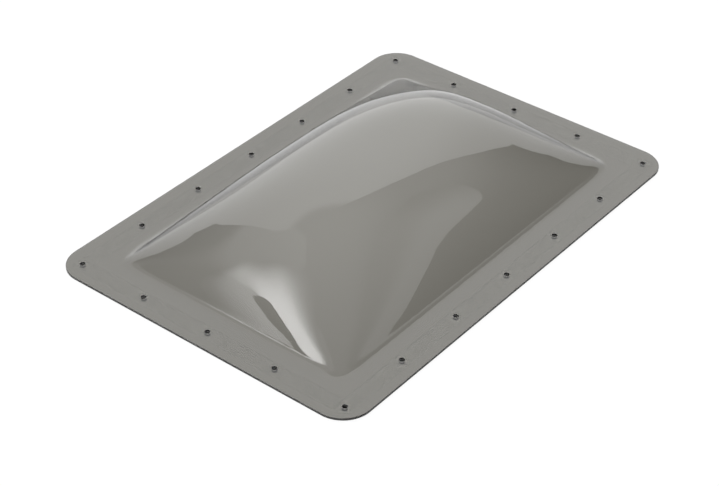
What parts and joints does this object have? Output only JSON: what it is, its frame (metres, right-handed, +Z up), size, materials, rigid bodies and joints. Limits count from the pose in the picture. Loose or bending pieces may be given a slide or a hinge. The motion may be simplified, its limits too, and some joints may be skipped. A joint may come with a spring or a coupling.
{
  "type": "roof skylight",
  "caption": "Rectangular smoke-tinted roof skylight for a caravan or camper: a blown bubble with a flat screw-down flange, on sealing strips.",
  "frame": {"origin": "on the roof surface, under the middle of the bubble: the centre of the sealing strips' underside", "axes": "+X along the long side, +Y across it, +Z up, out of the roof"},
  "size_m": [0.6604, 0.4572, 0.108],
  "materials": {
    "smoke_sheet": "glossy, clear smoke-tinted polycarbonate",
    "clear_seal": "soft, milky clear silicone"
  },
  "bodies": {
    "root": {"dome_moulding": "smoke_sheet", "seal_strip_front": "clear_seal", "seal_strip_rear": "clear_seal", "seal_strip_left": "clear_seal", "seal_strip_right": "clear_seal"}
  },
  "joints": []
}
